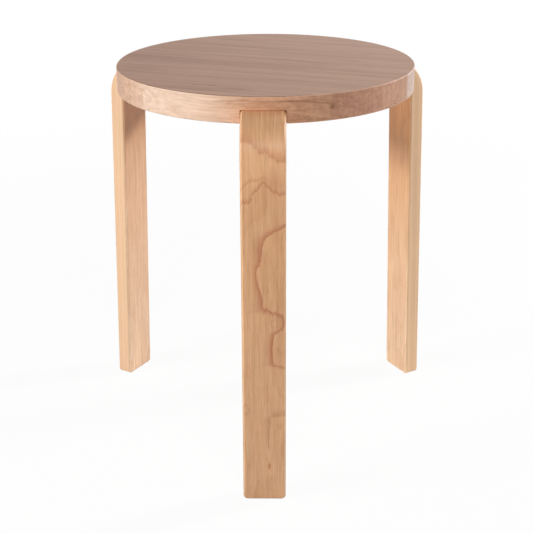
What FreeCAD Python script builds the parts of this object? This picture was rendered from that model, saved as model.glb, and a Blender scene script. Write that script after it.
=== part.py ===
import FreeCAD, Part
import math
import os

# A three-legged stacking stool. Each leg is one bent strip of glued laminations: it runs
# flat under the seat, turns down just outside the rim and splays a little to the floor.
# The flat run is let into a housing in the underside of a round, edge-glued seat.
# Millimetres and degrees. The origin is on the floor under the centre of the seat, +Z is
# up, and the front leg stands towards -Y.

# Whole stool
stool_height = 450.0
seat_diameter = 345.0
seat_thickness = 29.0

# Seat boards, counted from the front: the first is the narrow one, the rest are alike
board_count = 7
front_board_width = 34.5
board_turn = -12.3
seat_top_ease = 1.0
seat_bottom_ease = 1.0

# Housings: the room left round a leg
housing_clearance = 0.05
housing_mouth_ease = 0.8

# Legs, evenly spaced round the seat
leg_names = ("front", "right", "left")
front_azimuth = -90.0
leg_width = 47.5
leg_thickness = 20.0
face_veneer = 1.5
bend_outer_radius = 43.0
foot_reach = 224.5
leg_splay = 1.75
leg_end_reach = 55.0
leg_end_ease = 6.0
leg_arris_ease = 2.0
foot_corner_round = 5.0
let_in_depth = 14.0

# Bolts: low cap heads sunk in the underside of the leg
bolt_count = 2
bolt_end_distance = 19.0
bolt_rim_distance = 20.5
bolt_offset = 8.0
bolt_diameter = 6.0
bolt_hole_clearance = 0.25
bolt_head_diameter = 10.0
bolt_head_height = 4.0
bolt_head_clearance = 0.5
bolt_head_sink = 1.5
bolt_tip_setback = 4.5
socket_flats = 4.0
socket_depth = 2.2
socket_sides = 6

# Threaded inserts in the seat
insert_diameter = 10.0
insert_cover = 4.5
insert_hole_spare = 0.5

# Worked out from the sizes above
seat_radius = seat_diameter / 2
seat_bottom = stool_height - seat_thickness
board_width = (seat_diameter - front_board_width) / (board_count - 1)
leg_top = seat_bottom + let_in_depth
leg_underside = leg_top - leg_thickness
splay = math.radians(leg_splay)
bend_height = leg_top - bend_outer_radius
bend_reach = foot_reach - bend_height * math.tan(splay) - bend_outer_radius / math.cos(splay)
bolt_seat = leg_underside + bolt_head_sink + bolt_head_height
insert_hole_top = stool_height - insert_cover
insert_top = insert_hole_top - insert_hole_spare
bolt_tip = insert_top - bolt_tip_setback
leg_spacing = math.degrees(2 * math.pi) / len(leg_names)
leg_azimuths = {name: front_azimuth + number * leg_spacing for number, name in enumerate(leg_names)}

up = FreeCAD.Vector(0, 0, 1)
across = FreeCAD.Vector(0, 1, 0)
origin = FreeCAD.Vector(0, 0, 0)
margin = 5.0
touching = 0.001


def turned(shape, azimuth):
    """A copy of the shape turned about the stool's axis from +X to the azimuth."""
    copy = shape.copy()
    copy.rotate(origin, up, azimuth)
    return copy


def edges_where(shape, wanted):
    """The shape's edges whose bounding box passes the test."""
    return [edge for edge in shape.Edges if wanted(edge.BoundBox)]


def upright_rod(diameter, place, bottom, top):
    """A round rod between two heights, its axis through the place."""
    foot = FreeCAD.Vector(place.x, place.y, bottom)
    return Part.makeCylinder(diameter / 2, top - bottom, foot, up)


def leg_layer(depth_from, depth_to, width, overrun=0.0):
    """A leg lying along +X: the layer between two depths below its outer face.

    overrun carries the layer on past the leg's inner end and below the floor.
    """

    def path(depth):
        radius = bend_outer_radius - depth
        middle = (math.pi / 2 + splay) / 2
        start = FreeCAD.Vector(leg_end_reach - overrun, 0, leg_top - depth)
        bend_start = FreeCAD.Vector(bend_reach, 0, leg_top - depth)
        bend_middle = FreeCAD.Vector(
            bend_reach + radius * math.cos(middle), 0, bend_height + radius * math.sin(middle)
        )
        bend_end = FreeCAD.Vector(
            bend_reach + radius * math.cos(splay), 0, bend_height + radius * math.sin(splay)
        )
        drop = bend_end.z + overrun
        foot = FreeCAD.Vector(bend_end.x + drop * math.tan(splay), 0, -overrun)
        return start, bend_start, bend_middle, bend_end, foot

    outer = path(depth_from)
    inner = path(depth_to)
    outline = Part.Wire(
        [
            Part.makeLine(outer[0], outer[1]),
            Part.Arc(outer[1], outer[2], outer[3]).toShape(),
            Part.makeLine(outer[3], outer[4]),
            Part.makeLine(outer[4], inner[4]),
            Part.makeLine(inner[4], inner[3]),
            Part.Arc(inner[3], inner[2], inner[1]).toShape(),
            Part.makeLine(inner[1], inner[0]),
            Part.makeLine(inner[0], outer[0]),
        ]
    )
    section = Part.Face(outline)
    section.translate(across * (-width / 2))
    return section.extrude(across * width)


def leg_blank():
    """The whole leg: its end's corners cut off, its foot's rounded, its arrises eased."""

    def is_end_corner(box):
        return box.XMax < leg_end_reach + touching and box.ZLength > touching

    def is_foot_corner(box):
        return box.ZMax < touching and box.YLength < touching

    def is_arris(box):
        upright_in_end = box.XMax < end_of_cut and box.ZLength > touching
        seam_of_bend = box.XMin > end_of_cut and box.XLength < touching and box.ZLength < touching
        through_foot = box.ZMax < foot_corner_round + touching and box.YLength < touching
        return not (upright_in_end or seam_of_bend or through_foot)

    end_of_cut = leg_end_reach + leg_end_ease + touching
    blank = leg_layer(0, leg_thickness, leg_width)
    blank = blank.makeChamfer(leg_end_ease, edges_where(blank, is_end_corner))
    blank = blank.makeFillet(foot_corner_round, edges_where(blank, is_foot_corner))
    return blank.makeChamfer(leg_arris_ease, edges_where(blank, is_arris))


def bolt_places():
    """Bolt axes in a leg lying along +X, staggered to either side of its middle line."""
    first = leg_end_reach + bolt_end_distance
    last = seat_radius - bolt_rim_distance
    side = -1
    for number in range(bolt_count):
        reach = first + (last - first) * number / (bolt_count - 1)
        yield FreeCAD.Vector(reach, side * bolt_offset, 0)
        side = -side


def bolt_hole(place):
    """Counterbore for the head, and the clearance hole on through the leg."""
    counterbore_diameter = bolt_head_diameter + 2 * bolt_head_clearance
    hole_diameter = bolt_diameter + 2 * bolt_hole_clearance
    counterbore = upright_rod(counterbore_diameter, place, leg_underside - margin, bolt_seat)
    return counterbore.fuse(upright_rod(hole_diameter, place, leg_underside, leg_top + margin))


def bolt(place):
    """Low-head cap screw with a hexagon socket."""
    head_bottom = bolt_seat - bolt_head_height
    head = upright_rod(bolt_head_diameter, place, head_bottom, bolt_seat)
    shank = upright_rod(bolt_diameter, place, head_bottom + socket_depth, bolt_tip)
    corner_radius = socket_flats / 2 / math.cos(math.pi / socket_sides)
    middle = FreeCAD.Vector(place.x, place.y, head_bottom)
    corners = []
    for step in range(socket_sides + 1):
        turn = 2 * math.pi * step / socket_sides
        corners.append(middle + FreeCAD.Vector(math.cos(turn), math.sin(turn), 0) * corner_radius)
    socket = Part.Face(Part.makePolygon(corners)).extrude(up * socket_depth)
    return head.fuse(shank).removeSplitter().cut(socket)


def insert_at(place):
    """Threaded sleeve set into the seat above the leg."""
    sleeve = upright_rod(insert_diameter, place, leg_top, insert_top)
    return sleeve.cut(upright_rod(bolt_diameter, place, leg_top, insert_top))


def insert_hole(place):
    """Blind hole for the sleeve, drilled up from the ceiling of the housing."""
    return upright_rod(insert_diameter, place, leg_top - margin, insert_hole_top)


def housing():
    """The groove that takes the flat run of a leg, open at the rim and underneath."""
    inner_end = leg_end_reach - housing_clearance
    width = leg_width + 2 * housing_clearance
    low = seat_bottom - margin
    corner = FreeCAD.Vector(inner_end, -width / 2, low)
    groove = Part.makeBox(seat_radius + margin - inner_end, width, leg_top - low, corner)

    def is_end_corner(box):
        return box.XMax < inner_end + touching and box.YLength < touching

    return groove.makeChamfer(leg_end_ease, edges_where(groove, is_end_corner))


def seat_blank():
    """The seat in one piece: eased edges, the housings and the holes for the inserts."""

    def is_mouth(box):
        at_rim = math.hypot(box.Center.x, box.Center.y) > seat_radius - margin
        return at_rim and seat_bottom + touching < box.ZMax < leg_top + touching

    def is_top(box):
        return box.ZMin > stool_height - touching

    def is_bottom(box):
        return box.ZMax < seat_bottom + touching

    disc = upright_rod(seat_diameter, origin, seat_bottom, stool_height)
    disc = disc.cut([turned(housing(), azimuth) for azimuth in leg_azimuths.values()])
    disc = disc.makeChamfer(housing_mouth_ease, edges_where(disc, is_mouth))
    disc = disc.makeChamfer(seat_top_ease, edges_where(disc, is_top))
    disc = disc.makeChamfer(seat_bottom_ease, edges_where(disc, is_bottom))
    for azimuth in leg_azimuths.values():
        disc = disc.cut([turned(insert_hole(place), azimuth) for place in bolt_places()])
    return disc


def seat_boards(seat):
    """The seat sawn into its boards along upright glue joints, the front board first."""
    joints = [seat_radius - front_board_width - step * board_width for step in range(board_count - 1)]
    edges = [seat_radius + margin] + joints + [-seat_radius - margin]
    for near, far in zip(edges, edges[1:]):
        corner = FreeCAD.Vector(far, -seat_diameter, seat_bottom - margin)
        slab = Part.makeBox(near - far, 2 * seat_diameter, seat_thickness + 2 * margin, corner)
        yield seat.common(turned(slab, front_azimuth + board_turn))


def export(shape, node):
    """Write one node, either a single solid or several like ones."""
    solids = shape.Solids
    piece = solids[0] if len(solids) == 1 else Part.Compound(solids)
    piece.exportStep(f"parts/{node}.step")
    print(node, len(solids), "solid(s)", round(piece.Volume / 1000, 2), "cm3", piece.isValid())


def build():
    os.makedirs("parts", exist_ok=True)

    for number, board in enumerate(seat_boards(seat_blank()), start=1):
        export(board, f"seat_board_{number}")

    leg = leg_blank().cut([bolt_hole(place) for place in bolt_places()])
    core_from = face_veneer
    core_to = leg_thickness - face_veneer
    wide = leg_width + 2 * margin
    layers = {
        "outer_veneer": leg_layer(-margin, core_from, wide, margin),
        "core": leg_layer(core_from, core_to, wide, margin),
        "inner_veneer": leg_layer(core_to, leg_thickness + margin, wide, margin),
    }
    laminations = {name: leg.common(layer) for name, layer in layers.items()}
    fixings = {
        "bolts": Part.Compound([bolt(place) for place in bolt_places()]),
        "inserts": Part.Compound([insert_at(place) for place in bolt_places()]),
    }
    for side, azimuth in leg_azimuths.items():
        for name, shape in {**laminations, **fixings}.items():
            export(turned(shape, azimuth), f"{side}_leg_{name}")


build()
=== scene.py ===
import math

import bpy
from mathutils import Matrix, Vector

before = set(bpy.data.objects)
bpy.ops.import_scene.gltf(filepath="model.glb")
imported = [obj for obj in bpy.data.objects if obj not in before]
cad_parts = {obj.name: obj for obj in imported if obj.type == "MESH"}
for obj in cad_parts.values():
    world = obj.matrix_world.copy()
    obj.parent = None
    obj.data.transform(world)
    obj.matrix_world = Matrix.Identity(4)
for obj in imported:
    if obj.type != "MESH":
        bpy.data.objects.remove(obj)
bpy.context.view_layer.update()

MM = 0.001

# Sizes of the stool that the finish follows, in metres
SEAT_TOP = 0.450
SEAT_BOTTOM = 0.421
SEAT_RADIUS = 0.1725
FOOT_REACH = 0.2245
LEG_SPLAY = math.radians(1.75)
BEND_RADIUS = 0.043
BEND_HEIGHT = 0.392
BEND_REACH = FOOT_REACH - BEND_HEIGHT * math.tan(LEG_SPLAY) - BEND_RADIUS / math.cos(LEG_SPLAY)
PLY = 0.00155
LEG_AZIMUTHS = {"front": -90.0, "right": 30.0, "left": 150.0}
BOARD_AZIMUTH = math.radians(-12.3)
GRAIN_AZIMUTH = math.radians(-19.5)


# ---------------------------------------------------------------- node trees

# The spans in which the values of a noise usually lie: in general, for fine fibres and for
# the gloss
USUAL_NOISE = (0.3, 0.7)
FIBRE_NOISE = (0.25, 0.75)
GLOSS_NOISE = (0.2, 0.8)

# Where a colour goes darker, its green and blue fall by these powers of the red's level
DEEPENED_GREEN = 1.3
DEEPENED_BLUE = 1.55

# Lacquer over wood: its refraction, how far its gloss varies, and the parts of its relief
LACQUER_IOR = 1.47
ROUGHNESS_SWING = 0.07
RELIEF_STRENGTH = 0.3
FIBRE_HEIGHTS = (0.4, 0.6)
PORE_DEPTH = 0.5
BEVEL_SAMPLES = 6


class Nodes:
    """A node tree being built, with short calls for the nodes that it needs."""

    def __init__(self, tree):
        self.tree = tree
        tree.nodes.clear()

    def add(self, kind, inputs=None, **settings):
        node = self.tree.nodes.new(kind)
        for name, value in settings.items():
            setattr(node, name, value)
        for name, value in (inputs or {}).items():
            self.put(node.inputs[name], value)
        return node

    def put(self, socket, value):
        if isinstance(value, bpy.types.NodeSocket):
            self.tree.links.new(value, socket)
        else:
            socket.default_value = value

    def put_all(self, sockets, values):
        for socket, value in zip(sockets, values):
            self.put(socket, value)

    def math(self, operation, *values):
        node = self.add("ShaderNodeMath", operation=operation)
        self.put_all(node.inputs, values)
        return node.outputs[0]

    def plus(self, one, other):
        return self.math("ADD", one, other)

    def minus(self, one, other):
        return self.math("SUBTRACT", one, other)

    def over(self, one, other):
        return self.math("DIVIDE", one, other)

    def product(self, first, *others):
        for other in others:
            first = self.math("MULTIPLY", first, other)
        return first

    def plus_product(self, base, one, other):
        """base + one * other"""
        return self.math("MULTIPLY_ADD", one, other, base)

    def map(self, value, low, high, to_low=0.0, to_high=1.0, smooth=False):
        """The value carried from one range to another, and held at its two ends."""
        style = "SMOOTHSTEP" if smooth else "LINEAR"
        node = self.add("ShaderNodeMapRange", interpolation_type=style)
        names = ("Value", "From Min", "From Max", "To Min", "To Max")
        self.put_all([node.inputs[name] for name in names], (value, low, high, to_low, to_high))
        return node.outputs["Result"]

    def blend(self, factor, shader, other):
        node = self.add("ShaderNodeMixShader")
        self.put_all(node.inputs, (factor, shader, other))
        return node.outputs[0]

    def ray_is(self, *kinds):
        """1 for rays of these kinds, such as those that the camera sends."""
        path = self.add("ShaderNodeLightPath")
        total = path.outputs[kinds[0]]
        for kind in kinds[1:]:
            total = self.math("MAXIMUM", total, path.outputs[kind])
        return total


class Shade(Nodes):
    """A material being built round one Principled shader."""

    def __init__(self, name):
        self.material = bpy.data.materials.new(name)
        self.material.use_nodes = True
        super().__init__(self.material.node_tree)
        self.shader = self.add("ShaderNodeBsdfPrincipled")
        self.add("ShaderNodeOutputMaterial", {"Surface": self.shader.outputs["BSDF"]})

    def place(self):
        """Object coordinates: the CAD frame in metres."""
        return self.add("ShaderNodeTexCoord").outputs["Object"]

    def normal(self):
        """The mesh's own normal, before any rounding or relief."""
        return self.add("ShaderNodeNewGeometry").outputs["Normal"]

    def turn(self, vector, angle):
        """The vector turned about the vertical."""
        inputs = {"Vector": vector, "Angle": angle}
        return self.add("ShaderNodeVectorRotate", inputs, rotation_type="Z_AXIS").outputs["Vector"]

    def join(self, x, y, z):
        node = self.add("ShaderNodeCombineXYZ")
        self.put_all(node.inputs, (x, y, z))
        return node.outputs[0]

    def split(self, vector):
        node = self.add("ShaderNodeSeparateXYZ")
        self.put(node.inputs[0], vector)
        return node.outputs["X"], node.outputs["Y"], node.outputs["Z"]

    def length(self, one, other):
        """The length of a vector with these two parts."""
        node = self.add("ShaderNodeVectorMath", operation="LENGTH")
        self.put(node.inputs[0], self.join(one, other, 0.0))
        return node.outputs["Value"]

    def scaled(self, vector, scale, shift=(0.0, 0.0, 0.0)):
        inputs = {"Vector": vector, "Location": shift, "Scale": scale}
        return self.add("ShaderNodeMapping", inputs).outputs["Vector"]

    def noise(self, vector, detail=2.0, roughness=0.5):
        inputs = {"Vector": vector, "Scale": 1.0, "Detail": detail, "Roughness": roughness}
        return self.add("ShaderNodeTexNoise", inputs, noise_dimensions="3D").outputs["Fac"]

    def swing(self, vector, amount, **settings):
        """Noise about zero, from -amount to +amount at most."""
        return self.product(self.minus(self.noise(vector, **settings), 0.5), 2.0 * amount)

    def spread(self, noise, amount, middle=0.0, usual=USUAL_NOISE):
        """A noise's usual values, spread by the amount to either side of the middle."""
        return self.map(noise, *usual, middle - amount, middle + amount)

    def curve(self, value, points):
        """A smooth line through the points, which go from left to right."""
        first, last = points[0][0], points[-1][0]
        heights = [height for _, height in points]
        low, high = min(heights), max(heights)
        node = self.add("ShaderNodeFloatCurve")
        line = node.mapping.curves[0]
        for _ in points[2:]:
            line.points.new(0.5, 0.5)
        for point, (place, height) in zip(line.points, points):
            point.location = ((place - first) / (last - first), (height - low) / (high - low))
        node.mapping.update()
        self.put(node.inputs["Value"], self.map(value, first, last))
        return self.map(node.outputs[0], 0.0, 1.0, low, high)

    def line(self, distance, width):
        """A soft line: 1 where the distance is zero, falling off over the width."""
        ratio = self.over(distance, width)
        return self.math("EXPONENT", self.product(ratio, ratio, -1.0))

    def window(self, value, low, high, soft=3.0):
        """1 between the two ends, falling to 0 over a soft length outside them."""
        rise = self.map(value, low - soft, low, smooth=True)
        return self.product(rise, self.map(value, high, high + soft, 1.0, 0.0, smooth=True))

    def from_middle(self, across, along, middle_across, middle_along, half_width, half_height):
        """The distance from an ellipse's middle: 1 on its outline."""
        part_across = self.over(self.minus(across, middle_across), half_width)
        part_along = self.over(self.minus(along, middle_along), half_height)
        return self.length(part_across, part_along)

    def mix(self, blend, factor, colour, other):
        inputs = {"Factor": factor, "A": colour, "B": other}
        node = self.add("ShaderNodeMix", inputs, data_type="RGBA", blend_type=blend)
        return node.outputs["Result"]

    def tint(self, factor, colour, other):
        """The colour turned into another, as far as the factor says."""
        return self.mix("MIX", factor, colour, other)

    def stain(self, factor, colour, other):
        """The colour multiplied by another, as far as the factor says."""
        return self.mix("MULTIPLY", factor, colour, other)

    def times(self, colour, value):
        """The colour made lighter or darker by a value round 1."""
        node = self.add("ShaderNodeVectorMath", operation="SCALE")
        self.put(node.inputs[0], colour)
        self.put(node.inputs["Scale"], value)
        return node.outputs[0]

    def deepened(self, colour, level):
        """The colour made lighter or darker by a level round 1: darker is warmer too."""
        green = self.math("POWER", level, DEEPENED_GREEN)
        blue = self.math("POWER", level, DEEPENED_BLUE)
        node = self.add("ShaderNodeVectorMath", operation="MULTIPLY")
        self.put_all(node.inputs, (colour, self.join(level, green, blue)))
        return node.outputs[0]

    def bump(self, height, strength, distance, normal=None):
        inputs = {"Strength": strength, "Distance": distance, "Height": height}
        if normal is not None:
            inputs["Normal"] = normal
        self.put(self.shader.inputs["Normal"], self.add("ShaderNodeBump", inputs).outputs["Normal"])

    def open_pores(self, fibre, pores):
        """A surface of low fibres with pores let into it, for the relief."""
        return self.plus_product(self.map(fibre, *USUAL_NOISE, *FIBRE_HEIGHTS), pores, -PORE_DEPTH)

    def lacquer(self, colour, height, relief, gloss_by, roughness, rounding):
        """Satin lacquer over wood: the colour, pores in relief and rounded arrises."""
        rounded = self.add("ShaderNodeBevel", {"Radius": rounding}, samples=BEVEL_SAMPLES)
        self.bump(height, RELIEF_STRENGTH, relief, rounded.outputs["Normal"])
        gloss = self.spread(gloss_by, ROUGHNESS_SWING, roughness, GLOSS_NOISE)
        self.put(self.shader.inputs["Base Color"], colour)
        self.put(self.shader.inputs["Roughness"], gloss)
        self.shader.inputs["IOR"].default_value = LACQUER_IOR


def srgb(red, green, blue):
    """A colour given in sRGB steps of 0 to 255, as Blender's linear one."""

    def linear(channel):
        part = channel / 255
        return part / 12.92 if part <= 0.04045 else ((part + 0.055) / 1.055) ** 2.4

    return (linear(red), linear(green), linear(blue), 1.0)


# ---------------------------------------------------------------- seat boards

SEAT_LIGHT = srgb(211, 166, 135)
SEAT_DARK = srgb(146, 97, 72)
SEAT_PORE = srgb(112, 72, 52)
# Painted sheen: the lighter tint of the rim's left stands in for the gloss of the left light
PAINTED_SHEEN_TINT = srgb(224, 193, 169)
# A lighter board at the rim's right, partly a lighter wood and partly a painted sheen
PALE_WOOD_AND_SHEEN = srgb(228, 202, 188)
# The top's stain is painted shade and a painted sheen: it makes the top darker and cooler
TOP_PAINTED_SHADE = (0.865, 0.875, 0.965, 1.0)
# Darker and warmer towards the rim's right: painted shade, with a warmer wood tone
HEARTWOOD_AND_SHADE_STAIN = (1.0, 0.90, 0.82, 1.0)
VIOLET_STAIN = (0.97, 0.90, 0.97, 1.0)
PATCH_STAIN = (0.94, 0.97, 0.92, 1.0)
LEFT_END_STAIN = (0.965, 0.85, 0.765, 1.0)

SEAT_ROUGHNESS = 0.47
SEAT_RELIEF = 0.25 * MM
SEAT_ROUNDING = 0.4 * MM
SEAT_PORES = 0.22
END_GRAIN_SHADE = 0.31

# The arris round the top is lighter, a painted highlight, but its upper part is darker at the
# front and left, painted shade like the top's, and turns light between these places along X,
# in metres. It is told by how far it faces up.
ARRIS_PAINTED_HIGHLIGHT = 0.30
ARRIS_PAINTED_SHADE = -0.30
ARRIS_TURN = (0.01, 0.06)
ARRIS_FACING = (0.66, 0.76)
ARRIS_SOFT = 0.04

# The rim's finish sets in and is full at these depths below the top, in metres, and where
# the wood faces up by no more than this
RIM_DEPTH = (0.3 * MM, 0.7 * MM)
RIM_FACING = (0.95, 0.8)

# Where along X the casts of the rim set in and are full, in metres
PAINTED_SHEEN_CAST = (-0.015, -0.085)
LEFT_END_CAST = (-0.13, -0.165)
RIGHT_CAST = (-0.05, 0.0)

# How much lighter or darker the top is at its two ends along X and along Y
TOP_SLOPE_X = (-0.19, 0.04)
TOP_SLOPE_Y = (-0.06, 0.04)

# Noise in the wood, in waves per metre: along the grain, across it and in height
SWAY_WAVES = (6.0, 30.0, 30.0)
LIFT_WAVES = (5.0, 24.0, 24.0)
RAGGED_WAVES = (16.0, 240.0, 240.0)
STRENGTH_WAVES = (5.0, 34.0, 34.0)
FIBRE_WAVES = (20.0, 620.0, 620.0)
STREAK_WAVES = (2.2, 240.0, 240.0)
BROAD_WAVES = (3.0, 32.0, 32.0)
PORE_WAVES = (55.0, 1300.0, 1300.0)
WAVER_WAVES = (9.0, 9.0, 9.0)

# Noise on the rim, in waves per metre along X, Y and Z
DRIFT_WAVES = (30.0, 30.0, 60.0)
PATCH_WAVES = (55.0, 55.0, 90.0)
WOBBLE_WAVES = (160.0, 160.0, 160.0)

# How far these noises move things, in metres
RING_SWAY = 9.0 * MM
RING_LIFT = 7.0 * MM
RING_RAGGED = 0.5 * MM
MARK_WAVER = 1.5 * MM
RIM_DRIFT = 20.0 * MM

# How much lighter or darker they make the wood
FIBRE_LEVEL = 0.07
STREAK_LEVEL = 0.14
BROAD_LEVEL = 0.05

# The values of a noise between which pores and patches set in and are full
PORE_NOISE = (0.58, 0.72)
PATCH_NOISE = (0.35, 0.65)

# Late wood: how sharply it sets in, the part of the year in which it ends, and the noise
# that varies its strength along a ring
LATE_POWER = 3.0
LATE_END = (0.92, 1.0)
LATE_NOISE = (0.35, 0.68)
LATE_STRENGTHS = (0.15, 1.0)

# Marks on the top that run with the grain: distance from the centre towards the front,
# width, and how much lighter or darker, the distances in millimetres. The streaks vary
# their strength.
MARK_NOISE = (0.35, 0.6)
MARK_STRENGTHS = (0.4, 1.2)
TOP_MARKS = [
    (7.0, 0.9, 0.14),
    (12.5, 3.4, -0.15),
    (19.0, 2.0, -0.08),
    (31.0, 5.0, -0.05),
    (57.5, 0.9, 0.06),
    (61.0, 2.6, -0.05),
    (77.0, 0.8, 0.05),
    (96.0, 4.0, -0.04),
    (-38.0, 5.0, -0.04),
    (-63.0, 1.2, 0.05),
    (-92.0, 1.0, 0.06),
]

# Dark flecks and a flame's tip on the top: place along X and Y, half length with the grain
# and half width in millimetres, and how much darker
TOP_SPOTS = [
    (-73.0, -117.0, 6.0, 1.3, -0.22),
    (-56.0, -121.0, 8.0, 1.5, -0.28),
    (-34.0, -136.0, 20.0, 1.5, -0.22),
    (-24.0, -128.0, 16.0, 1.1, -0.12),
    (-52.0, 135.5, 18.0, 3.2, -0.22),
    (150.0, -75.0, 40.0, 2.4, -0.12),
    (104.0, -71.0, 40.0, 2.0, -0.10),
    (-140.0, -30.0, 40.0, 16.0, -0.10),
]

# Lines on the rim, in millimetres round it from the front and up from its lower edge: the
# points that a line goes through, its width, how much lighter or darker, and its ends
RIM_LINES = [
    (
        [(-60.0, 22.0), (-24.0, 24.0), (27.6, 23.8), (50.0, 21.8), (72.0, 18.0)],
        0.9, -0.26, (-45.0, 70.0),
    ),
    ([(-60.0, 15.0), (-20.0, 17.5), (30.0, 18.5), (60.0, 15.5)], 1.6, -0.10, (-50.0, 52.0)),
    ([(27.0, 12.6), (51.0, 8.4), (78.0, 1.0)], 0.9, 0.15, (30.0, 72.0)),
    ([(27.0, 8.0), (51.0, 4.0), (70.0, 0.0)], 1.8, -0.08, (34.0, 60.0)),
    ([(86.0, 24.0), (96.0, 22.0), (104.0, 17.0), (108.0, 12.0)], 1.4, -0.12, (88.0, 106.0)),
    ([(86.0, 17.0), (100.5, 11.0), (116.0, 4.0)], 2.4, -0.12, (96.0, 112.0)),
    (
        [(-195.0, 20.0), (-187.0, 21.3), (-165.0, 22.8), (-146.0, 22.0)],
        1.1, -0.13, (-186.0, -152.0),
    ),
    (
        [(-200.0, 11.0), (-186.0, 15.5), (-165.0, 17.5), (-140.0, 15.5)],
        1.2, 0.07, (-190.0, -146.0),
    ),
    ([(-190.0, 4.0), (-165.0, 9.5), (-140.0, 10.0)], 2.6, -0.05, (-180.0, -146.0)),
]
RIM_LINE_FADE = 12.0
RIM_WOBBLE = 1.0

# The knot and the soft patches on the rim: the middle's place and the half sizes, in the
# same millimetres, and how much lighter or darker
RIM_SPOTS = [
    (73.8, 14.9, 3.0, 2.2, -0.50),
    (134.0, 16.0, 2.6, 2.0, -0.12),
    (97.0, 8.0, 12.0, 6.0, 0.05),
    (40.0, 9.0, 12.0, 3.0, -0.05),
    (-222.0, 14.0, 22.0, 30.0, -0.12),
    (8.0, 15.0, 55.0, 40.0, 0.07),
    (132.0, 12.0, 26.0, 30.0, 0.08),
]

# Arcs of end grain near the rim's right end, in the same millimetres, and where outwards
# they set in and are full
ARC_MIDDLE, ARC_HEIGHT = 164.0, -1.5
ARC_STRETCH = 1.9
ARC_GAP = 3.1
ARC_REACH = (15.0, 9.0)
ARC_LEVEL = 0.11


def rim_marks(shade, x, y, z):
    """How much lighter or darker the marks make the rim."""
    azimuth = shade.plus(shade.math("ARCTAN2", y, x), math.pi / 2)
    round_rim = shade.product(azimuth, SEAT_RADIUS / MM)
    wobble = shade.noise(shade.scaled(shade.join(x, y, z), WOBBLE_WAVES))
    height = shade.over(shade.minus(z, SEAT_BOTTOM), MM)
    height = shade.plus(height, shade.map(wobble, 0.0, 1.0, -RIM_WOBBLE, RIM_WOBBLE))
    level = 0.0
    for points, width, amount, ends in RIM_LINES:
        line = shade.line(shade.minus(height, shade.curve(round_rim, points)), width)
        mark = shade.product(line, shade.window(round_rim, *ends, soft=RIM_LINE_FADE))
        level = shade.plus_product(level, mark, amount)
    for *ellipse, amount in RIM_SPOTS:
        spot = shade.line(shade.from_middle(round_rim, height, *ellipse), 1.0)
        level = shade.plus_product(level, spot, amount)
    stretched = shade.over(shade.minus(round_rim, ARC_MIDDLE), ARC_STRETCH)
    distance = shade.length(stretched, shade.minus(height, ARC_HEIGHT))
    wave = shade.math("SINE", shade.product(distance, 2 * math.pi / ARC_GAP))
    arcs = shade.product(wave, shade.map(distance, *ARC_REACH, smooth=True))
    return shade.plus_product(level, arcs, ARC_LEVEL)


def top_marks(shade, x, y, with_grain, across, streak, level):
    """The level with the marks and flecks of the top added to it."""
    waver = shade.swing(shade.scaled(with_grain, WAVER_WAVES), MARK_WAVER)
    wavering = shade.plus(across, waver)
    ragged = shade.map(streak, *MARK_NOISE, *MARK_STRENGTHS)
    for distance, width, amount in TOP_MARKS:
        mark = shade.line(shade.plus(wavering, distance * MM), width * MM)
        level = shade.plus_product(level, shade.product(mark, ragged), amount)
    for spot_x, spot_y, half_length, half_width, amount in TOP_SPOTS:
        offset = shade.join(shade.minus(x, spot_x * MM), shade.minus(y, spot_y * MM), 0.0)
        parts = (1 / (half_length * MM), 1 / (half_width * MM), 1.0)
        offset = shade.turn(offset, -GRAIN_AZIMUTH)
        part_along, part_across, _ = shade.split(shade.scaled(offset, parts))
        spot = shade.line(shade.length(part_along, part_across), 1.0)
        level = shade.plus_product(level, spot, amount)
    return level


def late_wood(shade, with_grain, pith, tilt, ring_gap, unrest, shift):
    """How much of the dark late wood there is: rings about a pith line."""
    along, across, height = shade.split(with_grain)
    sway = shade.swing(shade.scaled(with_grain, SWAY_WAVES, shift), RING_SWAY * unrest)
    lift = shade.swing(shade.scaled(with_grain, LIFT_WAVES, shift[::-1]), RING_LIFT * unrest)
    off_across = shade.minus(shade.plus(across, sway), shade.plus_product(pith[0], along, tilt[0]))
    off_up = shade.minus(shade.plus(height, lift), shade.plus_product(pith[1], along, tilt[1]))
    ragged = shade.swing(shade.scaled(with_grain, RAGGED_WAVES, shift), RING_RAGGED, detail=3.0)
    radius = shade.plus(shade.length(off_across, off_up), ragged)
    year = shade.math("FRACT", shade.over(radius, ring_gap))
    rise = shade.math("POWER", year, LATE_POWER)
    late = shade.product(rise, shade.map(year, *LATE_END, 1.0, 0.0, smooth=True))
    patchy = shade.noise(shade.scaled(with_grain, STRENGTH_WAVES, shift))
    return shade.product(late, shade.map(patchy, *LATE_NOISE, *LATE_STRENGTHS))


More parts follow.
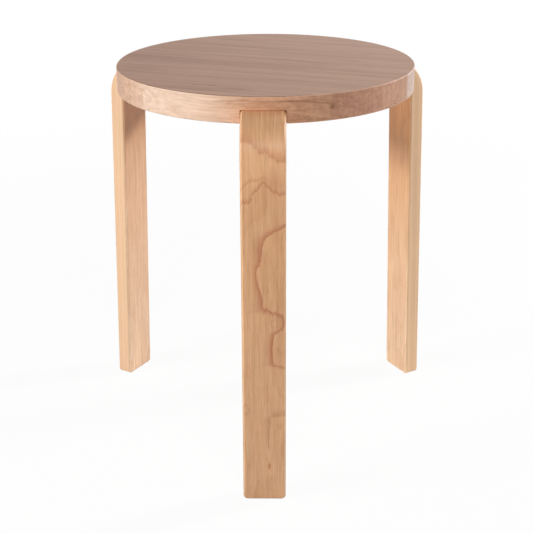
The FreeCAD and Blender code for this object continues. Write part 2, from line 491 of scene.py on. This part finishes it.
def seat_wood(
    name, pith, tilt, ring_gap, unrest, rings, shift, tone, painted_sheen=None, violet=0.0, pale_and_sheen=0.0
):
    """Solid wood with growth rings about a pith line that runs roughly along the board.

    pith is the line's place across the board and in height, tilt how far it leans in these
    two along the board, ring_gap the mean width of a year's growth, unrest how far the
    rings stray from round, and rings how dark their late wood is. shift moves the noise and
    tone is the board's lightness. The last three values say how far the rim takes on these
    casts: a lighter one on the left, which is a painted sheen; a violet one on the right;
    and a lighter one on the right, partly a lighter board and partly a painted sheen. Only
    the boards with a value for the left cast carry the rim's marks.
    """
    shade = Shade(name)
    place = shade.place()
    x, y, z = shade.split(place)
    with_grain = shade.turn(place, -GRAIN_AZIMUTH)
    _, across, _ = shade.split(with_grain)
    fibre = shade.noise(shade.scaled(with_grain, FIBRE_WAVES, shift), detail=3.0, roughness=0.62)
    streak_place = shade.scaled(with_grain, STREAK_WAVES, shift[::-1])
    streak = shade.noise(streak_place, detail=3.0, roughness=0.6)
    broad = shade.noise(shade.scaled(with_grain, BROAD_WAVES, shift))
    pores = shade.noise(shade.scaled(with_grain, PORE_WAVES, shift), detail=1.0)
    pores = shade.map(pores, *PORE_NOISE, smooth=True)

    late = late_wood(shade, with_grain, pith, tilt, ring_gap, unrest, shift)
    colour = shade.tint(shade.product(late, rings), SEAT_LIGHT, SEAT_DARK)
    colour = shade.tint(shade.product(pores, SEAT_PORES), colour, SEAT_PORE)
    level = shade.spread(fibre, FIBRE_LEVEL, usual=FIBRE_NOISE)
    level = shade.plus(level, shade.spread(streak, STREAK_LEVEL))
    level = shade.plus(level, shade.spread(broad, BROAD_LEVEL))
    level = top_marks(shade, x, y, with_grain, across, streak, level)

    # The rim is told from the top by the normal, and the arris, at 45 degrees, by height
    normal = shade.normal()
    _, _, facing_up = shade.split(normal)
    deep_enough = shade.map(z, *(SEAT_TOP - depth for depth in RIM_DEPTH))
    side = shade.math("MINIMUM", shade.map(facing_up, *RIM_FACING, smooth=True), deep_enough)
    top = shade.minus(1.0, side)

    # The rim goes from a lighter cast on the left, a painted sheen, to a warm, darker cast on the
    #     # right, painted shade with a warmer wood tone
    drift = shade.plus(x, shade.swing(shade.scaled(place, DRIFT_WAVES, shift), RIM_DRIFT))
    to_right = shade.product(side, shade.map(drift, *RIGHT_CAST, smooth=True))
    left_end = shade.product(side, shade.map(drift, *LEFT_END_CAST, smooth=True))
    patch = shade.noise(shade.scaled(place, PATCH_WAVES, shift), detail=1.0)
    patch = shade.map(patch, *PATCH_NOISE, smooth=True)
    # Painted sheen on the rim's left, as a lighter tint
    if painted_sheen is not None:
        sheen_on_left = shade.product(side, shade.map(drift, *PAINTED_SHEEN_CAST, smooth=True))
        colour = shade.tint(shade.product(sheen_on_left, painted_sheen), colour, PAINTED_SHEEN_TINT)
    colour = shade.stain(left_end, colour, LEFT_END_STAIN)
    # Painted shade on the rim's right, with a warmer wood tone
    colour = shade.stain(to_right, colour, HEARTWOOD_AND_SHADE_STAIN)
    colour = shade.stain(shade.product(to_right, violet), colour, VIOLET_STAIN)
    colour = shade.stain(shade.product(to_right, patch, violet), colour, PATCH_STAIN)
    # Partly a lighter board, partly painted sheen at the rim's right end
    colour = shade.tint(shade.product(to_right, pale_and_sheen), colour, PALE_WOOD_AND_SHEEN)
    # Painted shade and sheen: the top darker and cooler than the rim of the same wood
    colour = shade.stain(top, colour, TOP_PAINTED_SHADE)

    # The top is lighter towards the back and the right
    slope_x = shade.map(x, -SEAT_RADIUS, SEAT_RADIUS, *TOP_SLOPE_X)
    slope_y = shade.map(y, -SEAT_RADIUS, SEAT_RADIUS, *TOP_SLOPE_Y)
    level = shade.plus_product(level, shade.plus(slope_x, slope_y), top)
    if painted_sheen is not None:
        level = shade.plus_product(level, rim_marks(shade, x, y, z), side)
    # A painted highlight on the arris, and painted shade on its upper part at the front and left
    upper_arris_shade = shade.map(x, *ARRIS_TURN, ARRIS_PAINTED_SHADE, ARRIS_PAINTED_HIGHLIGHT, smooth=True)
    arris = shade.map(side, 0.0, 1.0, upper_arris_shade, ARRIS_PAINTED_HIGHLIGHT)
    on_arris = shade.window(facing_up, *ARRIS_FACING, soft=ARRIS_SOFT)
    level = shade.plus(shade.product(on_arris, arris), level)

    # End grain drinks in the finish and comes out darker
    facing_along, _, _ = shade.split(shade.turn(normal, -BOARD_AZIMUTH))
    end_grain = shade.math("POWER", shade.math("ABSOLUTE", facing_along), 2.0)
    colour = shade.deepened(colour, shade.product(shade.plus(level, 1.0), tone))
    colour = shade.times(colour, shade.plus_product(1.0, end_grain, -END_GRAIN_SHADE))

    height = shade.open_pores(fibre, pores)
    shade.lacquer(colour, height, SEAT_RELIEF, fibre, SEAT_ROUGHNESS, SEAT_ROUNDING)
    return shade.material


BOARDS = {
    1: dict(
        pith=(-0.135, 0.3519), tilt=(0.0, -0.06), ring_gap=0.0100, unrest=0.35, rings=0.60,
        shift=(0.3, 1.7, 4.1), tone=1.04, painted_sheen=0.8,
    ),
    2: dict(
        pith=(-0.1284, 0.4330), tilt=(0.0, 0.0), ring_gap=0.0053, unrest=0.25, rings=0.16,
        shift=(2.3, 0.4, 7.9), tone=1.0, painted_sheen=0.55, violet=0.9,
    ),
    3: dict(
        pith=(-0.0305, 0.4320), tilt=(0.0, 0.0), ring_gap=0.0052, unrest=0.25, rings=0.16,
        shift=(5.2, 3.6, 1.2), tone=1.07, painted_sheen=0.45, violet=0.5,
    ),
    4: dict(
        pith=(0.000, 0.520), tilt=(0.05, 0.02), ring_gap=0.0052, unrest=0.5, rings=0.40,
        shift=(8.7, 6.1, 2.5), tone=1.0, pale_and_sheen=0.75,
    ),
    5: dict(
        pith=(0.040, 0.380), tilt=(0.02, -0.04), ring_gap=0.0068, unrest=0.5, rings=0.35,
        shift=(1.4, 9.3, 5.5), tone=1.0, pale_and_sheen=0.6,
    ),
    6: dict(
        pith=(0.120, 0.350), tilt=(-0.03, 0.02), ring_gap=0.0057, unrest=0.5, rings=0.40,
        shift=(6.8, 2.2, 0.7), tone=0.99,
    ),
    7: dict(
        pith=(0.130, 0.500), tilt=(0.04, 0.04), ring_gap=0.0064, unrest=0.5, rings=0.35,
        shift=(3.9, 7.4, 8.8), tone=1.02,
    ),
}


# ----------------------------------------------------------------------- legs

OUTER_TONE = srgb(220, 168, 124)
OUTER_FOOT = srgb(216, 168, 126)
INNER_TONES = {"front": (217, 172, 130), "right": (206, 151, 101), "left": (211, 167, 132)}
# Painted light and shade on the inner faces' upper ends, where the seat's shadow falls
INNER_TOP_PAINTED_LIGHT = {"right": (231, 173, 120), "left": (200, 152, 115)}
# The inner faces' lighter feet are partly a lighter tone and partly painted bounce light
INNER_FEET_AND_BOUNCE = {"front": (241, 202, 165), "right": (240, 202, 165), "left": (235, 199, 167)}
LEG_FIGURE = srgb(172, 92, 56)
LEG_PORE = srgb(160, 104, 70)
WARM_STAIN = (1.0, 0.985, 0.94, 1.0)
PLY_LIGHT = srgb(236, 199, 161)
PLY_DARK = srgb(210, 163, 120)

LEG_ROUGHNESS = 0.40
LEG_RELIEF = 0.2 * MM
LEG_ROUNDING = 1.4 * MM
LEG_PORES = 0.2

# Heights between which the colour goes from the leg's own to the foot's, in metres, and
# those between which it takes on the colour of the leg's upper end. The lighter foot of the
# inner faces is partly painted bounce light from the floor, and the upper end's colour is
# painted light and shade where the seat's shadow falls.
FOOT_FADE = (0.39, 0.04)
PAINTED_TOP_FADE = (0.305, 0.35)

# The arrises of the veneers: how much lighter they are, a painted highlight, and how far
# they face sideways
LEG_ARRIS_PAINTED_HIGHLIGHT = 0.20
LEG_ARRIS_FACING = (0.55, 0.85)
LEG_ARRIS_SOFT = 0.1

# Noise in the veneers, in waves per millimetre across the leg and along it
CURL_ACROSS_WAVES = (0.07, 0.045, 1.0)
CURL_ALONG_WAVES = (0.08, 0.045, 1.0)
TEETH_WAVES = (0.7, 0.02, 1.0)
VENEER_FIBRE_WAVES = (0.95, 0.022, 1.0)
VENEER_STREAK_WAVES = (0.25, 0.008, 1.0)
VENEER_PORE_WAVES = (1.4, 0.07, 1.0)
VENEER_BROAD_WAVES = (0.03, 0.012, 1.0)

# How far these noises move the contour lines, in millimetres. The drawn lines follow them
# by a small share, and have teeth of their own.
CURL_ACROSS = 5.0
CURL_ALONG = 7.0
CURL_SHARE = 0.15
TEETH = 6.0

# Faint contour lines over a whole sheet: waves of the hills per millimetre, the number of
# contours and their strength
HILL_ACROSS = 0.034
HILL_ALONG = 0.0055
CONTOURS = 7.0
CONTOUR_POWER = 3.0
CONTOUR_STRENGTH = 0.13

# The values of a noise between which pores set in and are full
VENEER_PORE_NOISE = (0.56, 0.72)

# How much lighter or darker the noises make the veneer
VENEER_FIBRE_LEVEL = 0.11
VENEER_STREAK_LEVEL = 0.07
VENEER_BROAD_LEVEL = 0.05

# The veneer grows lighter towards the bend, a painted sheen, and over it the fibres show
# more: from where to where along the leg, in millimetres, and by how much
BEND_SHEEN_SPAN = (345.0, 395.0)
BEND_PAINTED_SHEEN = 0.095
BEND_COARSENS = (395.0, 440.0)
BEND_FIBRE = 2.0

# A drawn line, in millimetres beyond its edge: where it starts, how it fades, and how far
# inside the edge the wood is fully stained
EDGE_START = (-0.25, 0.35)
EDGE_STRETCH = 1.5
EDGE_POWER = 1.6
EDGE_INSIDE = -4.0

# The plies: how far they wander, how much their tones differ, and the glue lines' place and
# width in parts of a ply, and their strength
PLY_WANDER = 0.25 * MM
PLY_CONTRAST = 0.45
GLUE_PLACE = 0.03
GLUE_WIDTH = 0.1
GLUE_STRENGTH = 0.3

# Noise in the plies, in waves per metre through them and along them, and for the fibres
# also from side to side
PLY_WANDER_WAVES = (90.0, 7.0)
PLY_BROAD_WAVES = (60.0, 8.0)
PLY_FIBRE_WAVES = (2400.0, 30.0)
PLY_SIDEWAYS_WAVES = 500.0

# How much lighter or darker these noises make them
PLY_FIBRE_LEVEL = 0.06
PLY_BROAD_LEVEL = 0.04

# How much lighter a leg's plies are at the foot, as painted bounce light from the floor, and
# up to which height, in metres
FOOT_BOUNCE_LIGHT = {"right": 0.14}
FOOT_HEIGHT = 0.05


def seen_from_leg(shade, vector, side):
    """The vector as seen from a leg laid along +X: outwards, sideways and up."""
    return shade.split(shade.turn(vector, -math.radians(LEG_AZIMUTHS[side])))


def sharp_edge(shade, beyond, fade):
    """A figure line: it starts sharply at zero and fades over a length on the far side."""
    start = shade.map(beyond, *EDGE_START, smooth=True)
    depth = shade.over(shade.math("MAXIMUM", beyond, 0.0), shade.product(fade, EDGE_STRETCH))
    fall = shade.math("EXPONENT", shade.product(shade.math("POWER", depth, EDGE_POWER), -1.0))
    return shade.product(start, fall)


def drawn_figure(shade, figures, across, along, figure):
    """The figure with the drawn lines and spots added, and the masks inside its edges."""

    def with_mark(mark, strength):
        return shade.math("MAXIMUM", figure, shade.product(mark, strength))

    for points, fade, strength, ends in figures.get("waves", []):
        beyond = shade.minus(along, shade.curve(across, points))
        mark = shade.product(sharp_edge(shade, beyond, fade), shade.window(across, *ends))
        figure = with_mark(mark, strength)
    insides = []
    for points, strength, ends in figures.get("edges", []):
        line = shade.curve(along, [(height, offset) for height, offset, _ in points])
        fade = shade.curve(along, [(height, reach) for height, _, reach in points])
        beyond = shade.minus(line, across)
        on_line = shade.window(along, *ends)
        figure = with_mark(shade.product(sharp_edge(shade, beyond, fade), on_line), strength)
        within = shade.product(shade.map(beyond, 0.0, EDGE_INSIDE, smooth=True), on_line)
        insides.append(shade.product(within, 2 * strength))
    for *ellipse, fade, strength in figures.get("loops", []):
        half_width = ellipse[2]
        distance = shade.from_middle(across, along, *ellipse)
        beyond = shade.plus_product(-half_width, distance, half_width)
        figure = with_mark(sharp_edge(shade, beyond, fade), strength)
    for *ellipse, strength in figures.get("knots", []):
        distance = shade.from_middle(across, along, *ellipse)
        figure = with_mark(shade.line(distance, 1.0), strength)
    return figure, insides


def veneer(name, side, tone, foot, figures, shift, top=None):
    """A sliced face veneer: fine upright fibres and curling figure lines.

    All lengths are in millimetres, measured across from the middle of the leg and along it,
    upright from the floor. waves are (points (across, along) of a line that fades upwards,
    fade, strength, ends across), edges are (points (along, across, fade) of a line that
    fades to the left, strength, ends along), loops are (across, along, half width, half
    height, fade, strength), and knots are (across, along, half width, half height,
    strength). The colour goes from tone to foot down the leg; the inner faces' lighter foot
    is partly painted bounce light from the floor. top, if it is given, is the colour over
    the leg's upper end, painted light and shade where the seat's shadow falls.
    """
    shade = Shade(name)
    outwards, sideways, up = seen_from_leg(shade, shade.place(), side)
    past_bend = shade.math("MAXIMUM", shade.minus(BEND_REACH, outwards), 0.0)
    run = shade.minus(up, past_bend)
    flat = shade.scaled(shade.join(sideways, run, 0.0), (1 / MM, 1 / MM, 1.0))
    plain_across, plain_along, _ = shade.split(flat)
    curl = dict(detail=4.0, roughness=0.6)
    curl_across = shade.swing(shade.scaled(flat, CURL_ACROSS_WAVES, shift), CURL_ACROSS, **curl)
    curl_along = shade.swing(shade.scaled(flat, CURL_ALONG_WAVES, shift[::-1]), CURL_ALONG, **curl)

    hill_across = shade.plus_product(shift[0], shade.plus(plain_across, curl_across), HILL_ACROSS)
    hill_along = shade.plus_product(shift[1], shade.plus(plain_along, curl_along), HILL_ALONG)
    hill = shade.noise(shade.join(hill_across, hill_along, 0.0), detail=1.0)
    contour = shade.math("FRACT", shade.product(hill, CONTOURS))
    figure = shade.product(shade.math("POWER", contour, CONTOUR_POWER), CONTOUR_STRENGTH)
    warmth = contour
    if figures:
        teeth_place = shade.scaled(flat, TEETH_WAVES, shift)
        teeth = shade.swing(teeth_place, TEETH, detail=3.0, roughness=0.7)
        across = shade.plus_product(plain_across, curl_across, CURL_SHARE)
        along = shade.plus(shade.plus_product(plain_along, curl_along, CURL_SHARE), teeth)
        figure, insides = drawn_figure(shade, figures, across, along, figure)
        for inside in insides:
            warmth = shade.math("MAXIMUM", warmth, inside)

    fibre = shade.noise(shade.scaled(flat, VENEER_FIBRE_WAVES, shift), detail=3.0, roughness=0.65)
    streak = shade.noise(shade.scaled(flat, VENEER_STREAK_WAVES, shift), detail=3.0, roughness=0.6)
    pores = shade.noise(shade.scaled(flat, VENEER_PORE_WAVES, shift), detail=1.0)
    pores = shade.map(pores, *VENEER_PORE_NOISE, smooth=True)
    broad = shade.noise(shade.scaled(flat, VENEER_BROAD_WAVES, shift), detail=3.0)
    # Lighter towards the foot: partly painted bounce light from the floor
    colour = shade.tint(shade.map(up, *FOOT_FADE), tone, foot)
    # Painted light and shade over the leg's upper end
    if top is not None:
        colour = shade.tint(shade.map(up, *PAINTED_TOP_FADE, smooth=True), colour, top)
    colour = shade.stain(warmth, colour, WARM_STAIN)
    colour = shade.tint(figure, colour, LEG_FIGURE)
    colour = shade.tint(shade.product(pores, LEG_PORES), colour, LEG_PORE)

    coarser = shade.map(plain_along, *BEND_COARSENS, 1.0, BEND_FIBRE)
    level = shade.product(shade.spread(fibre, VENEER_FIBRE_LEVEL), coarser)
    level = shade.plus(level, shade.spread(streak, VENEER_STREAK_LEVEL, 1.0))
    # A painted sheen: lighter towards the bend
    lighter = shade.map(plain_along, *BEND_SHEEN_SPAN, 0.0, BEND_PAINTED_SHEEN, smooth=True)
    level = shade.plus(level, lighter)
    level = shade.plus(level, shade.spread(broad, VENEER_BROAD_LEVEL))
    # A painted highlight on the veneers' arrises
    _, facing_sideways, _ = seen_from_leg(shade, shade.normal(), side)
    facing_sideways = shade.math("ABSOLUTE", facing_sideways)
    arris = shade.window(facing_sideways, *LEG_ARRIS_FACING, soft=LEG_ARRIS_SOFT)
    level = shade.plus_product(level, arris, LEG_ARRIS_PAINTED_HIGHLIGHT)

    height = shade.open_pores(fibre, pores)
    colour = shade.deepened(colour, level)
    shade.lacquer(colour, height, LEG_RELIEF, fibre, LEG_ROUGHNESS, LEG_ROUNDING)
    return shade.material


def laminate(name, side, shift, foot_bounce):
    """The edges of the glued plies, following the bend from the leg's end to its foot.

    The foot is lighter than the bend by the last value, as painted bounce light from the floor.
    """
    shade = Shade(name)
    outwards, sideways, up = seen_from_leg(shade, shade.place(), side)
    drop = shade.math("MINIMUM", shade.minus(up, BEND_HEIGHT), 0.0)
    upright = shade.plus_product(outwards, drop, math.tan(LEG_SPLAY))
    past_bend = shade.math("MAXIMUM", shade.minus(upright, BEND_REACH), 0.0)
    over_bend = shade.math("MAXIMUM", shade.minus(up, BEND_HEIGHT), 0.0)
    radius = shade.length(past_bend, over_bend)
    run = shade.minus(up, outwards)

    def in_plies(waves, third):
        """The place through the plies and along them, in waves, and a third value."""
        through, along = waves
        return shade.join(shade.product(radius, through), shade.product(run, along), third)

    wander = shade.swing(in_plies(PLY_WANDER_WAVES, shift[0]), PLY_WANDER)
    plies = shade.over(shade.plus(shade.minus(BEND_RADIUS, radius), wander), PLY)
    hue = shade.add("ShaderNodeTexWhiteNoise", noise_dimensions="1D")
    shade.put(hue.inputs["W"], shade.plus(shade.math("FLOOR", plies), shift[1]))
    glue = shade.line(shade.minus(shade.math("FRACT", plies), GLUE_PLACE), GLUE_WIDTH)
    fibre_place = in_plies(PLY_FIBRE_WAVES, shade.product(sideways, PLY_SIDEWAYS_WAVES))
    fibre = shade.noise(fibre_place, detail=3.0, roughness=0.6)
    broad = shade.noise(in_plies(PLY_BROAD_WAVES, shift[2]))
    darker = shade.map(hue.outputs["Value"], 0.0, 1.0, 0.0, PLY_CONTRAST)
    colour = shade.tint(darker, PLY_LIGHT, PLY_DARK)
    colour = shade.tint(shade.product(glue, GLUE_STRENGTH), colour, LEG_PORE)
    fibres = shade.spread(fibre, PLY_FIBRE_LEVEL, 1.0, FIBRE_NOISE)
    level = shade.plus(fibres, shade.spread(broad, PLY_BROAD_LEVEL))
    # Painted bounce light from the floor: the plies lighter towards the foot
    bounce_to_foot = shade.map(up, BEND_HEIGHT, FOOT_HEIGHT, 1.0, 1.0 + foot_bounce)
    colour = shade.times(colour, shade.product(level, bounce_to_foot))
    shade.lacquer(colour, fibre, LEG_RELIEF, fibre, LEG_ROUGHNESS, LEG_ROUNDING)
    return shade.material


# Soft darker clouds on the inner faces
INNER_FIGURES = {
    "front": {},
    "right": {"knots": [(2.0, 300.0, 40.0, 30.0, 0.06), (-6.0, 150.0, 6.0, 22.0, 0.06)]},
    "left": {"knots": [(6.0, 300.0, 14.0, 50.0, 0.05)]},
}

# The figure on the face of the front leg
FRONT_FIGURES = {
    "waves": [
        (
            [
                (-24.0, 411.5), (-15.0, 411.0), (-10.0, 407.5), (-6.0, 403.5), (-0.5, 399.5),
                (2.0, 401.0), (5.0, 399.5), (8.0, 396.5), (12.0, 394.0), (16.0, 392.0),
                (24.0, 392.0),
            ],
            6.0, 0.45, (-24.0, 24.0),
        ),
        (
            [
                (-24.0, 361.0), (-21.5, 363.0), (-19.0, 367.0), (-16.0, 370.0), (-13.0, 371.5),
                (-8.0, 371.0), (-3.0, 373.0), (0.5, 374.5), (3.5, 373.0), (7.0, 371.0),
                (24.0, 364.0),
            ],
            2.4, 0.40, (-24.0, 5.0),
        ),
        (
            [
                (-24.0, 347.5), (-15.0, 349.0), (-12.0, 353.0), (-11.0, 358.0), (-8.0, 359.5),
                (-5.0, 363.0), (-2.0, 367.5), (0.5, 369.5), (3.0, 367.0), (7.0, 363.5),
                (10.0, 360.5), (14.0, 359.5), (17.5, 357.0), (24.0, 359.0),
            ],
            2.6, 0.62, (-24.0, 24.0),
        ),
        ([(4.0, 104.0), (8.3, 104.0), (17.0, 104.5), (24.0, 107.0)], 4.0, 0.40, (9.0, 24.0)),
    ],
    "edges": [
        (
            [
                (160.0, 27.0, 5.0), (164.0, 22.5, 5.0), (166.0, 16.0, 5.0), (169.0, 10.5, 4.0),
                (177.0, 9.5, 3.4), (193.0, 10.0, 3.4), (202.0, 12.0, 3.6), (207.5, 19.0, 4.0),
                (212.0, 22.0, 2.5), (221.0, 22.0, 3.0), (225.5, 19.0, 7.0), (228.0, 13.0, 10.0),
                (230.5, 5.0, 7.0), (235.0, -0.5, 4.6), (242.0, -1.0, 4.2), (259.0, -5.0, 3.4),
                (270.0, -7.2, 2.4), (279.0, -6.0, 3.0), (282.0, -3.5, 4.0), (295.0, -1.5, 4.4),
                (301.0, -1.0, 4.6), (310.0, 2.0, 4.6), (315.0, 8.0, 5.0), (318.5, 12.0, 5.5),
                (321.0, 19.0, 6.0), (324.0, 24.0, 6.0), (329.0, 30.0, 6.0),
            ],
            0.70, (164.0, 325.0),
        ),
        (
            [
                (50.0, 5.0, 2.0), (63.0, 6.7, 2.4), (72.0, 5.5, 2.6), (85.0, 6.0, 3.0),
                (97.0, 7.8, 3.4), (104.0, 8.0, 4.0),
            ],
            0.34, (66.0, 103.0),
        ),
    ],
    "loops": [
        (11.5, 215.5, 3.0, 4.0, 0.8, 0.35),
        (15.0, 81.0, 4.0, 6.0, 0.8, 0.16),
        (-20.0, 113.0, 2.2, 4.0, 1.0, 0.30),
    ],
    "knots": [
        (1.5, 231.0, 2.2, 2.2, 0.75),
        (15.5, 185.0, 0.9, 3.0, 0.45),
        (5.5, 43.0, 1.6, 4.2, 0.85),
        (4.0, 21.0, 3.6, 13.0, 0.26),
        (8.0, 27.0, 0.8, 1.8, 0.5),
        (19.8, 62.0, 1.8, 12.0, 0.30),
        (17.0, 92.0, 3.0, 4.0, 0.25),
        (13.0, 109.0, 7.0, 4.0, 0.16),
        (-5.5, 128.0, 2.0, 3.0, 0.16),
        (-7.0, 138.0, 2.0, 3.0, 0.16),
        (12.0, 371.0, 9.0, 12.0, 0.24),
        (12.0, 399.0, 9.0, 6.0, 0.22),
    ],
}


# ------------------------------------------------------------------- hardware

STEEL = srgb(196, 198, 202)
BRASS = srgb(206, 172, 104)
SCRATCH_STRETCH = 9.0
SCRATCH_STRENGTH = 0.2
SCRATCH_DEPTH = 0.05 * MM
CLOUD_WAVES = (220.0, 220.0, 220.0)
CLOUD_LEVELS = (0.88, 1.06)


def metal(name, colour, roughness, scratch_waves):
    """Turned metal: fine scratches in the gloss and a slightly uneven colour.

    roughness is its least and its most, and scratch_waves how many waves the scratches have
    in a metre. Along the axis they have more.
    """
    shade = Shade(name)
    place = shade.place()
    along_axis = scratch_waves * SCRATCH_STRETCH
    scratch_place = shade.scaled(place, (scratch_waves, scratch_waves, along_axis))
    scratch = shade.noise(scratch_place, detail=4.0, roughness=0.65)
    cloud = shade.noise(shade.scaled(place, CLOUD_WAVES))
    uneven = shade.times(colour[:3], shade.map(cloud, *USUAL_NOISE, *CLOUD_LEVELS))
    shade.put(shade.shader.inputs["Base Color"], uneven)
    shade.put(shade.shader.inputs["Roughness"], shade.map(scratch, *USUAL_NOISE, *roughness))
    shade.shader.inputs["Metallic"].default_value = 1.0
    shade.bump(scratch, SCRATCH_STRENGTH, SCRATCH_DEPTH)
    return shade.material


# ------------------------------------------------------------------- dressing

# What moves the noise of each leg's materials, so that no two legs are alike
LEG_SHIFTS = {"front": (3.1, 5.7, 1.9), "right": (7.7, 2.4, 6.3), "left": (1.3, 8.9, 4.6)}


def dress(node, material):
    """The CAD node shows this material on all of its faces."""
    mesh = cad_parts[node].data
    mesh.materials.clear()
    mesh.materials.append(material)


def dress_seat():
    for number, values in BOARDS.items():
        dress(f"seat_board_{number}", seat_wood(f"seat_wood_{number}", **values))


def dress_legs():
    steel = metal("zinc_plated_steel", STEEL, (0.24, 0.42), 900.0)
    brass = metal("brass", BRASS, (0.22, 0.40), 700.0)
    for side, shift in LEG_SHIFTS.items():
        figures = FRONT_FIGURES if side == "front" else {}
        outer = veneer(f"{side}_outer_veneer", side, OUTER_TONE, OUTER_FOOT, figures, shift)
        inner = veneer(
            f"{side}_inner_veneer",
            side,
            srgb(*INNER_TONES[side]),
            srgb(*INNER_FEET_AND_BOUNCE[side]),
            INNER_FIGURES[side],
            shift[2:] + shift[:2],
            srgb(*INNER_TOP_PAINTED_LIGHT[side]) if side in INNER_TOP_PAINTED_LIGHT else None,
        )
        dress(f"{side}_leg_outer_veneer", outer)
        dress(f"{side}_leg_inner_veneer", inner)
        plies = laminate(f"{side}_laminate", side, shift, FOOT_BOUNCE_LIGHT.get(side, 0.0))
        dress(f"{side}_leg_core", plies)
        dress(f"{side}_leg_bolts", steel)
        dress(f"{side}_leg_inserts", brass)


# --------------------------------------------------------------------- studio

# Rays that see a white background. All the others bring the light.
SEEING_RAYS = ("Is Camera Ray", "Is Glossy Ray", "Is Transmission Ray")

WORLD_TINT = (1.0, 0.985, 0.97, 1.0)
WHITE = (1.0, 1.0, 1.0, 1.0)
PAPER = (0.9, 0.9, 0.9, 1.0)

# The floor turns from nearly white to white between these distances from the stool's axis
FLOOR_NEAR = 0.4
FLOOR_FAR = 1.6


def make_world(fill, gloss):
    """A plain fill for the light, and white where the camera looks past the floor.

    gloss is how bright that white is where it shows in a gloss.
    """
    world = bpy.data.worlds.new("studio")
    bpy.context.scene.world = world
    world.use_nodes = True
    nodes = Nodes(world.node_tree)
    brightness = nodes.map(nodes.ray_is("Is Camera Ray"), 0.0, 1.0, gloss, 1.0)
    light = nodes.add("ShaderNodeBackground", {"Color": WORLD_TINT, "Strength": fill})
    white = nodes.add("ShaderNodeBackground", {"Color": WHITE, "Strength": brightness})
    both = nodes.blend(nodes.ray_is(*SEEING_RAYS), light.outputs[0], white.outputs[0])
    nodes.add("ShaderNodeOutputWorld", {"Surface": both})


def floor_paper(whiteness):
    """Paper that is nearly white to the camera, still darker where the stool shades it."""
    material = bpy.data.materials.new("floor_paper")
    material.use_nodes = True
    nodes = Nodes(material.node_tree)
    far = nodes.add("ShaderNodeVectorMath", operation="LENGTH")
    nodes.put(far.inputs[0], nodes.add("ShaderNodeTexCoord").outputs["Object"])
    white = nodes.map(far.outputs["Value"], FLOOR_NEAR, FLOOR_FAR, whiteness, 1.0)
    share = nodes.product(nodes.ray_is(*SEEING_RAYS), white)
    paper = nodes.add("ShaderNodeBsdfDiffuse", {"Color": PAPER})
    glow = nodes.add("ShaderNodeEmission", {"Strength": 1.0})
    both = nodes.blend(share, paper.outputs[0], glow.outputs[0])
    nodes.add("ShaderNodeOutputMaterial", {"Surface": both})
    return material


def make_floor(size, whiteness):
    mesh = bpy.data.meshes.new("floor")
    half = size / 2
    corners = [(-half, -half, 0.0), (half, -half, 0.0), (half, half, 0.0), (-half, half, 0.0)]
    mesh.from_pydata(corners, [], [(0, 1, 2, 3)])
    mesh.materials.append(floor_paper(whiteness))
    floor = bpy.data.objects.new("floor", mesh)
    bpy.context.scene.collection.objects.link(floor)


def softbox(name, azimuth, distance, height, aim_height, width, tall, power):
    """A rectangular soft light that looks at the stool's axis."""
    data = bpy.data.lights.new(name, "AREA")
    data.shape = "RECTANGLE"
    data.size = width
    data.size_y = tall
    data.energy = power
    angle = math.radians(azimuth)
    spot = Vector((distance * math.cos(angle), distance * math.sin(angle), height))
    to_axis = Vector((0.0, 0.0, aim_height)) - spot
    lamp = bpy.data.objects.new(name, data)
    lamp.location = spot
    lamp.rotation_euler = to_axis.to_track_quat("-Z", "Y").to_euler()
    bpy.context.scene.collection.objects.link(lamp)


# The photograph's viewpoint, fitted to the stool's own edges: the lens and the sensor's width
# in millimetres, the camera's place in metres, and how it is turned
CAMERA_LENS = 77.73
CAMERA_SENSOR = 36.0
CAMERA_PLACE = (0.01984, -1.32976, 0.730399)
CAMERA_HEADING = math.radians(0.855)
CAMERA_PITCH = math.radians(22.009)
CAMERA_ROLL = math.radians(-0.268)


def make_camera():
    data = bpy.data.cameras.new("camera")
    data.sensor_width = CAMERA_SENSOR
    data.lens = CAMERA_LENS
    data.clip_start = 0.05
    data.clip_end = 60.0
    heading = Matrix.Rotation(CAMERA_HEADING, 4, "Z")
    pitch = Matrix.Rotation(math.pi / 2 - CAMERA_PITCH, 4, "X")
    roll = Matrix.Rotation(CAMERA_ROLL, 4, "Z")
    camera = bpy.data.objects.new("camera", data)
    camera.matrix_world = Matrix.Translation(CAMERA_PLACE) @ heading @ pitch @ roll
    bpy.context.scene.collection.objects.link(camera)
    bpy.context.scene.camera = camera


make_camera()
dress_seat()
dress_legs()
make_world(fill=0.10, gloss=0.8)
make_floor(size=24.0, whiteness=0.94)
softbox("light_left", -155.0, 1.9, 0.98, 0.42, width=0.8, tall=0.22, power=28.3)
softbox("light_right", 20.0, 1.9, 1.02, 0.42, width=0.3, tall=0.11, power=32.5)
softbox("light_front", -82.0, 2.3, 1.60, 0.30, width=1.5, tall=0.4, power=16.6)
bpy.context.scene.view_settings.view_transform = "Standard"
